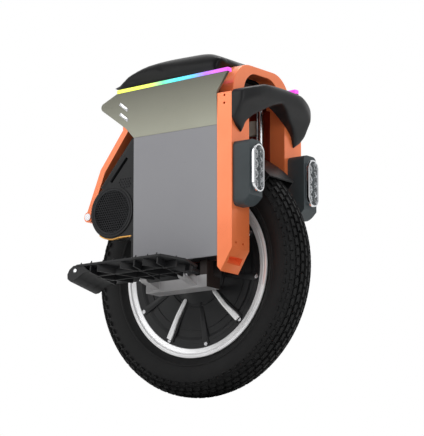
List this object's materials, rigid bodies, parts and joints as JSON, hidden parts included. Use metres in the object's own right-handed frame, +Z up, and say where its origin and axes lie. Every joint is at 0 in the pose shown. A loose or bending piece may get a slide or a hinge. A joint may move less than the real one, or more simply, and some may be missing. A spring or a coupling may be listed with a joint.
{
  "type": "electric unicycle",
  "caption": "Electric unicycle with a sprung fat-tyre wheel in an orange frame, fold-down pedals, twin headlamps, padded top and swing-out pull handle",
  "frame": {"origin": "point on the ground straight under the axle, with the suspension fully extended", "axes": "+X is the direction of travel, +Y is the rider's left, +Z is up"},
  "size_m": [0.508, 0.4778, 0.6963],
  "materials": {
    "orange_frame": "orange anodised satin aluminium",
    "orange_inner": "deep red-orange anodised sheet",
    "panel_grey": "neutral grey brushed satin sheet",
    "cover_olive": "olive-grey satin metallic",
    "strip_light": "milky rainbow light strip",
    "pad_black": "black padded satin skin",
    "black_plastic": "moulded black plastic",
    "slate_plastic": "dark slate moulded plastic",
    "chrome_trim": "polished chrome",
    "lamp_cells": "white light cells",
    "clear_lens": "clear lens",
    "grille_black": "black pierced grille",
    "gold_trim": "gold trim line",
    "red_lens": "red lens",
    "beam_grey": "light grey cast aluminium",
    "box_grey": "grey plastic box",
    "battery_wrap": "blue shrink wrap",
    "steel_bright": "bright steel",
    "black_metal": "black anodised aluminium",
    "motor_black": "black painted cast aluminium",
    "machined_rim": "diamond-cut aluminium",
    "copper_core": "wound copper and steel core",
    "tyre_rubber": "black tyre rubber",
    "soft_rubber": "soft black rubber"
  },
  "bodies": {
    "root": {"upright_right": "orange_frame", "upright_left": "orange_frame", "front_arch": "orange_frame", "inner_plate_right": "orange_inner", "inner_plate_left": "orange_inner", "top_deck": "black_plastic", "guide_rails": "steel_bright", "rail_clamps": "black_metal", "pedal_hanger_right": "beam_grey", "pedal_hanger_left": "beam_grey", "side_panel_right": "panel_grey", "side_panel_left": "panel_grey", "battery_box_right": "black_plastic", "battery_box_left": "black_plastic", "battery_packs": "battery_wrap", "upper_cover_right": "cover_olive", "upper_cover_left": "cover_olive", "light_strips": "strip_light", "seat_base": "black_plastic", "seat_pad": "pad_black", "controller_box": "beam_grey", "junction_box": "box_grey", "front_bumper": "black_plastic", "lamp_housing_right": "slate_plastic", "lamp_housing_left": "slate_plastic", "lamp_bezel_right": "chrome_trim", "lamp_bezel_left": "chrome_trim", "lamp_leds": "lamp_cells", "lamp_lenses": "clear_lens", "rear_cowl_right": "black_plastic", "rear_cowl_left": "black_plastic", "speaker_grilles": "grille_black", "speaker_drivers": "grille_black", "pod_trims": "gold_trim", "tail_light": "red_lens", "shock_bodies": "black_metal", "charge_port": "black_plastic", "pedal_pins": "steel_bright", "handle_bolts": "steel_bright"},
    "slider": {"axle_plate_right": "black_metal", "axle_plate_left": "black_metal", "slide_bushes": "black_metal", "axle": "steel_bright", "axle_nuts": "steel_bright", "shock_rods": "steel_bright", "fender": "black_plastic", "stator": "copper_core"},
    "wheel": {"tyre": "tyre_rubber", "rim": "machined_rim", "motor_cover_right": "motor_black", "motor_cover_left": "motor_black", "spoke_trims": "machined_rim", "hub_bolts": "steel_bright", "bearings": "steel_bright"},
    "pedal_right_body": {"pedal_right": "black_metal"},
    "pedal_left_body": {"pedal_left": "black_metal"},
    "handle": {"pull_handle": "orange_frame", "handle_grip": "soft_rubber"},
    "cap": {"charge_cap": "soft_rubber"},
    "button": {"power_button": "steel_bright"}
  },
  "joints": [
    {"name": "suspension", "type": "slide", "parent": "root", "child": "slider", "axis": [0, 0, 1], "range_m": [0, 0.09], "stiffness_N_per_m": 9000, "springref_m": -0.03},
    {"name": "wheel_spin", "type": "hinge", "parent": "slider", "child": "wheel", "pos_m": [0, 0, 0.254], "axis": [0, 1, 0], "continuous": true},
    {"name": "pedal_fold_right", "type": "hinge", "parent": "root", "child": "pedal_right_body", "pos_m": [0, -0.136, 0.23], "axis": [-1, 0, 0], "range_deg": [0, 78]},
    {"name": "pedal_fold_left", "type": "hinge", "parent": "root", "child": "pedal_left_body", "pos_m": [0, 0.136, 0.23], "axis": [1, 0, 0], "range_deg": [0, 78]},
    {"name": "handle_swing", "type": "hinge", "parent": "root", "child": "handle", "pos_m": [-0.2255, 0, 0.383], "axis": [0, -1, 0], "range_deg": [0, 60]},
    {"name": "cap_flip", "type": "hinge", "parent": "root", "child": "cap", "pos_m": [0.048, 0.1263, 0.593], "axis": [1, 0, 0], "range_deg": [0, 110]},
    {"name": "power_press", "type": "slide", "parent": "root", "child": "button", "axis": [0, -1, 0], "range_m": [0, 0.0025], "stiffness_N_per_m": 600, "springref_m": -0.002}
  ]
}
